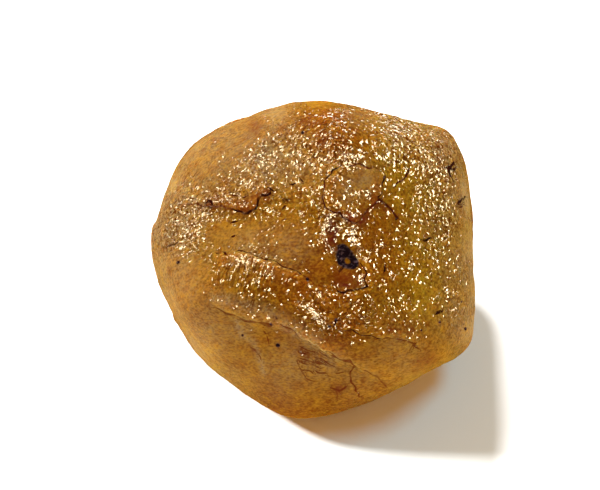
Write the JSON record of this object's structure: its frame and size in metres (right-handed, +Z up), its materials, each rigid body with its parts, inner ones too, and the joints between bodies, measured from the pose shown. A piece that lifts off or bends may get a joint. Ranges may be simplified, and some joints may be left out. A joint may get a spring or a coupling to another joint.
{
  "type": "rough diamond",
  "caption": "Rough diamond crystal: a cloudy brown-yellow cube with swollen faces, rounded edges and an etched skin with ledges, cracks and a dark pit.",
  "frame": {"origin": "on the resting face, at the middle of the bounding box", "axes": "+Z up, -Y the front of the stone, with the pit and the swollen band, +X the stone's right"},
  "size_m": [0.012, 0.0107, 0.0113],
  "materials": {
    "diamond_crystal": "cloudy amber-brown crystal, tan and olive in places, with a glossy finely etched skin, brown stain in the cracks and a dark violet-black inclusion"
  },
  "bodies": {
    "root": {"diamond": "diamond_crystal"}
  },
  "joints": []
}
